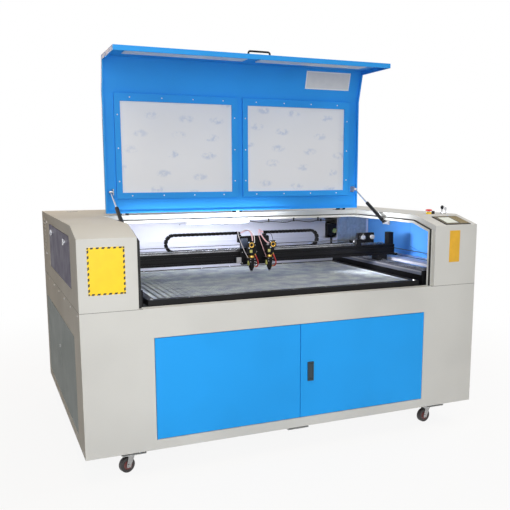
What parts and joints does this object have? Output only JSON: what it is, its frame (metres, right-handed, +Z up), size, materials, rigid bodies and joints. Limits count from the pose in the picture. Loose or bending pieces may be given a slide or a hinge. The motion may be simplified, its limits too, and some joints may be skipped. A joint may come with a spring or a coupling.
{
  "type": "laser engraving machine",
  "caption": "Floor-standing gantry laser engraving machine: steel cabinet on casters, lifting lid with windows on gas struts, honeycomb bed, moving beam and laser heads.",
  "frame": {"origin": "on the floor, under the middle of the cabinet", "axes": "+X to the right seen from the front, +Y to the back, +Z up; rest pose with the lid open"},
  "size_m": [1.859, 1.345, 1.765],
  "materials": {
    "frame_paint": "satin grey paint on welded tube",
    "body_paint": "fine textured light grey powder coat",
    "blue_paint": "semi-gloss blue paint",
    "inner_paint": "pale grey paint with a cool cast",
    "seal_rubber": "matt black foam seal",
    "black_paint": "satin black paint",
    "honeycomb_aluminium": "bare aluminium foil honeycomb",
    "rail_steel": "ground steel",
    "shaft_steel": "ground steel",
    "tube_glass": "clear glass",
    "black_anodised": "black anodised",
    "zinc_plate": "zinc plated sheet",
    "lamp_white": "white diffuser, lit",
    "cable_black": "soft vinyl jacket",
    "panel_black": "textured dark bezel with a pale display",
    "switch_yellow": "moulded yellow",
    "hinge_steel": "zinc plated steel",
    "lid_blue": "semi-gloss blue powder coat",
    "window_sheet": "tinted acrylic under a pale protective film",
    "handle_black": "moulded black",
    "rod_chrome": "polished",
    "strut_black": "gloss black",
    "door_blue": "semi-gloss blue powder coat",
    "side_blue": "semi-gloss blue powder coat, in shade",
    "hatch_dark": "dark smoked acrylic",
    "lever_dark": "dark cast zinc",
    "latch_chrome": "polished",
    "head_black": "black anodised, with brass rings",
    "hose_red": "soft red air hose and pale pink hose",
    "chain_plastic": "moulded nylon",
    "stop_red": "moulded red",
    "key_steel": "nickel plated",
    "button_steel": "polished",
    "caster_steel": "zinc plated",
    "caster_tread": "grey nylon"
  },
  "bodies": {
    "cabinet": {"base_frame": "frame_paint", "skids": "zinc_plate", "front_panel": "body_paint", "left_side_panel": "body_paint", "right_side_panel": "body_paint", "rear_panel": "body_paint", "floor_panel": "body_paint", "left_pod": "body_paint", "right_pod": "body_paint", "rear_deck": "body_paint", "side_liners": "blue_paint", "rear_bulkhead": "inner_paint", "work_deck": "inner_paint", "lid_gasket": "seal_rubber", "bed_frame": "black_paint", "honeycomb": "honeycomb_aluminium", "guide_beams": "black_paint", "guide_rails": "rail_steel", "laser_tubes": "tube_glass", "rear_mirror": "black_anodised", "electronics": "zinc_plate", "exhaust_collars": "zinc_plate", "lamp": "lamp_white", "lamp_cable": "cable_black", "control_panel": "panel_black", "switch_housings": "switch_yellow", "deck_fittings": "hinge_steel"},
    "lid": {"lid_shell": "lid_blue", "window_frames": "lid_blue", "window_sheets": "window_sheet", "lid_handle": "handle_black", "lid_fittings": "hinge_steel"},
    "strut_rod_pair": {"strut_rods": "rod_chrome"},
    "strut_tube_pair": {"strut_tubes": "strut_black"},
    "front_door_left": {"door_left": "door_blue"},
    "front_door_right": {"door_right": "door_blue"},
    "lever": {"door_lever": "lever_dark"},
    "left_service_door": {"side_door": "side_blue"},
    "hatch": {"side_hatch": "hatch_dark"},
    "front_latch": {"hatch_latch_front": "latch_chrome"},
    "rear_latch": {"hatch_latch_rear": "latch_chrome"},
    "gantry": {"gantry_beam": "black_anodised", "gantry_fittings": "black_anodised", "chain_strands": "chain_plastic"},
    "chain": {"chain_bends": "chain_plastic"},
    "head_carriage": {"carriage": "black_anodised", "laser_heads": "head_black", "head_hoses": "hose_red"},
    "shaft": {"drive_shaft": "shaft_steel"},
    "stop": {"stop_button": "stop_red"},
    "key_switch": {"key": "key_steel"},
    "start": {"start_button": "button_steel"},
    "fork_1": {"caster_fork_1": "caster_steel"},
    "wheel_1": {"caster_wheel_1": "caster_tread"},
    "fork_2": {"caster_fork_2": "caster_steel"},
    "wheel_2": {"caster_wheel_2": "caster_tread"},
    "fork_3": {"caster_fork_3": "caster_steel"},
    "wheel_3": {"caster_wheel_3": "caster_tread"},
    "fork_4": {"caster_fork_4": "caster_steel"},
    "wheel_4": {"caster_wheel_4": "caster_tread"}
  },
  "joints": [
    {"name": "lid_hinge", "type": "hinge", "parent": "cabinet", "child": "lid", "pos_m": [0, 0.068, 1.0185], "axis": [1, 0, 0], "range_deg": [0, 90]},
    {"name": "strut_pivot", "type": "hinge", "parent": "lid", "child": "strut_rod_pair", "pos_m": [0, 0.0255, 1.123], "axis": [1, 0, 0], "range_deg": [-116, 0]},
    {"name": "strut_slide", "type": "slide", "parent": "strut_rod_pair", "child": "strut_tube_pair", "axis": [0, -0.8817, -0.4718], "range_m": [-0.101, 0]},
    {"name": "front_door_left_hinge", "type": "hinge", "parent": "cabinet", "child": "front_door_left", "pos_m": [-0.6345, -0.653, 0.355], "axis": [0, 0, -1], "range_deg": [0, 105]},
    {"name": "front_door_right_hinge", "type": "hinge", "parent": "cabinet", "child": "front_door_right", "pos_m": [0.6345, -0.653, 0.355], "axis": [0, 0, 1], "range_deg": [0, 105]},
    {"name": "door_lever_pull", "type": "hinge", "parent": "front_door_right", "child": "lever", "pos_m": [0.048, -0.661, 0.386], "axis": [-1, 0, 0], "range_deg": [0, 55], "stiffness_Nm_per_rad": 0.2},
    {"name": "side_door_hinge", "type": "hinge", "parent": "cabinet", "child": "left_service_door", "pos_m": [-0.921, 0.595, 0.355], "axis": [0, 0, -1], "range_deg": [0, 105]},
    {"name": "side_hatch_hinge", "type": "hinge", "parent": "cabinet", "child": "hatch", "pos_m": [-0.922, -0.075, 0.756], "axis": [0, -1, 0], "range_deg": [0, 90]},
    {"name": "front_latch_turn", "type": "hinge", "parent": "hatch", "child": "front_latch", "pos_m": [-0.925, -0.31, 0.929], "axis": [1, 0, 0], "range_deg": [0, 90]},
    {"name": "rear_latch_turn", "type": "hinge", "parent": "hatch", "child": "rear_latch", "pos_m": [-0.925, 0.184, 0.929], "axis": [1, 0, 0], "range_deg": [0, 90]},
    {"name": "gantry_travel", "type": "slide", "parent": "cabinet", "child": "gantry", "axis": [0, 1, 0], "range_m": [-0.31, 0.33]},
    {"name": "drive_shaft_spin", "type": "hinge", "parent": "cabinet", "child": "shaft", "pos_m": [0, 0.238, 0.799], "axis": [1, 0, 0], "continuous": true},
    {"name": "carriage_travel", "type": "slide", "parent": "gantry", "child": "head_carriage", "axis": [1, 0, 0], "range_m": [-0.5, 0.43], "deforming": ["chain_strands"]},
    {"name": "chain_travel", "type": "slide", "parent": "gantry", "child": "chain", "axis": [1, 0, 0], "range_m": [-0.25, 0.215]},
    {"name": "stop_press", "type": "slide", "parent": "cabinet", "child": "stop", "axis": [0, 0, -1], "range_m": [0, 0.004]},
    {"name": "key_turn", "type": "hinge", "parent": "cabinet", "child": "key_switch", "pos_m": [0.872, -0.457, 1.01], "axis": [0, 0, 1], "range_deg": [0, 90]},
    {"name": "start_press", "type": "slide", "parent": "cabinet", "child": "start", "axis": [0, 0, -1], "range_m": [0, 0.003], "stiffness_N_per_m": 300},
    {"name": "caster_swivel_1", "type": "hinge", "parent": "cabinet", "child": "fork_1", "pos_m": [-0.732, -0.577, 0.08], "axis": [0, 0, 1], "continuous": true},
    {"name": "caster_roll_1", "type": "hinge", "parent": "fork_1", "child": "wheel_1", "pos_m": [-0.75267, -0.58452, 0.0325], "axis": [0.342, -0.9397, 0], "continuous": true},
    {"name": "caster_swivel_2", "type": "hinge", "parent": "cabinet", "child": "fork_2", "pos_m": [0.732, -0.577, 0.08], "axis": [0, 0, 1], "continuous": true},
    {"name": "caster_roll_2", "type": "hinge", "parent": "fork_2", "child": "wheel_2", "pos_m": [0.71021, -0.58006, 0.0325], "axis": [0.1392, -0.9903, 0], "continuous": true},
    {"name": "caster_swivel_3", "type": "hinge", "parent": "cabinet", "child": "fork_3", "pos_m": [-0.732, 0.577, 0.08], "axis": [0, 0, 1], "continuous": true},
    {"name": "caster_roll_3", "type": "hinge", "parent": "fork_3", "child": "wheel_3", "pos_m": [-0.71133, 0.58452, 0.0325], "axis": [-0.342, 0.9397, 0], "continuous": true},
    {"name": "caster_swivel_4", "type": "hinge", "parent": "cabinet", "child": "fork_4", "pos_m": [0.732, 0.577, 0.08], "axis": [0, 0, 1], "continuous": true},
    {"name": "caster_roll_4", "type": "hinge", "parent": "fork_4", "child": "wheel_4", "pos_m": [0.75194, 0.5677, 0.0325], "axis": [0.4226, 0.9063, 0], "continuous": true}
  ],
  "couplings": [
    {"joint": "strut_pivot", "follows": "lid_hinge", "ratio": -1.2879},
    {"joint": "strut_slide", "follows": "lid_hinge", "m_per_rad": -0.06426},
    {"joint": "chain_travel", "follows": "carriage_travel", "ratio": 0.5},
    {"joint": "drive_shaft_spin", "follows": "gantry_travel", "rad_per_m": -62.5}
  ]
}
